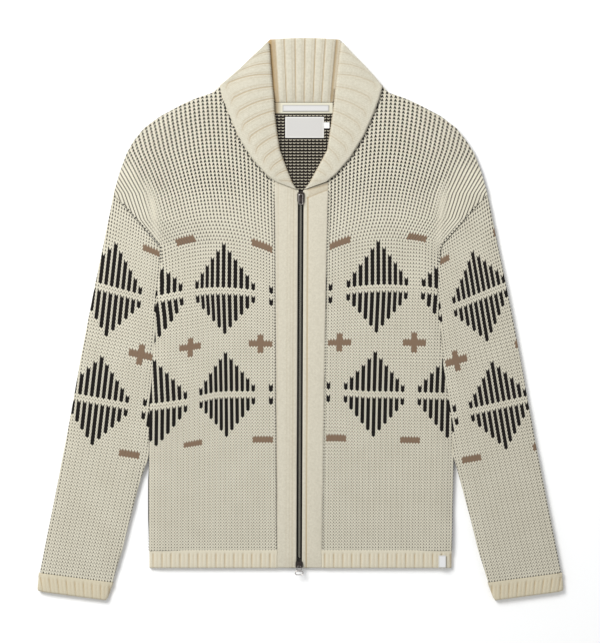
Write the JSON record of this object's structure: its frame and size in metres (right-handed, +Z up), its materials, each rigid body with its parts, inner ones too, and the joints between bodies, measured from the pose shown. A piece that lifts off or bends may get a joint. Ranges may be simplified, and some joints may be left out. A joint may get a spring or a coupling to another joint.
{
  "type": "zip cardigan",
  "caption": "Chunky knit zip cardigan with a shawl collar, laid flat with its front up; its zip's pull tabs turn.",
  "frame": {"origin": "middle of the garment's bounding box, on the surface it lies on", "axes": "+Z up from the surface, out of the garment's front; +Y from the hem to the collar; +X to the right as seen from above"},
  "size_m": [0.726, 0.777, 0.0142],
  "materials": {
    "main_knit": "chunky jacquard knit, cream ground with black and taupe motifs, soft matt wool",
    "band_knit": "fine plain knit, matt",
    "rib_knit": "wide rib knit, matt wool",
    "woven_label": "woven satin label, bare",
    "zip_tape": "black woven tape",
    "zip_metal": "dark antique nickel",
    "pull_metal": "bright nickel wire"
  },
  "bodies": {
    "garment": {"back_panel": "main_knit", "front_left": "main_knit", "front_right": "main_knit", "sleeve_left": "main_knit", "sleeve_right": "main_knit", "placket_left": "band_knit", "placket_right": "band_knit", "collar_left": "rib_knit", "collar_right": "rib_knit", "collar_back": "rib_knit", "cuff_left": "rib_knit", "cuff_right": "rib_knit", "hem_rib_back": "rib_knit", "hem_rib_front_left": "rib_knit", "hem_rib_front_right": "rib_knit", "neck_tape": "rib_knit", "neck_strip": "woven_label", "neck_label": "woven_label", "size_tab": "woven_label", "side_tag": "woven_label", "zip_tape_left": "zip_tape", "zip_tape_right": "zip_tape", "zip_chain": "zip_metal", "slider_top": "zip_metal", "slider_bottom": "zip_metal"},
    "pull_top": {"pull_top": "pull_metal"},
    "pull_bottom": {"pull_bottom_link": "pull_metal", "pull_bottom_ring": "pull_metal"}
  },
  "joints": [
    {"name": "top_pull_turn", "type": "hinge", "parent": "garment", "child": "pull_top", "pos_m": [0.00046, 0.1716, 0.0114], "axis": [-1, 0, 0], "range_deg": [0, 165]},
    {"name": "bottom_pull_turn", "type": "hinge", "parent": "garment", "child": "pull_bottom", "pos_m": [-0.00186, -0.3406, 0.0114], "axis": [-1, 0, 0], "range_deg": [0, 165]}
  ]
}
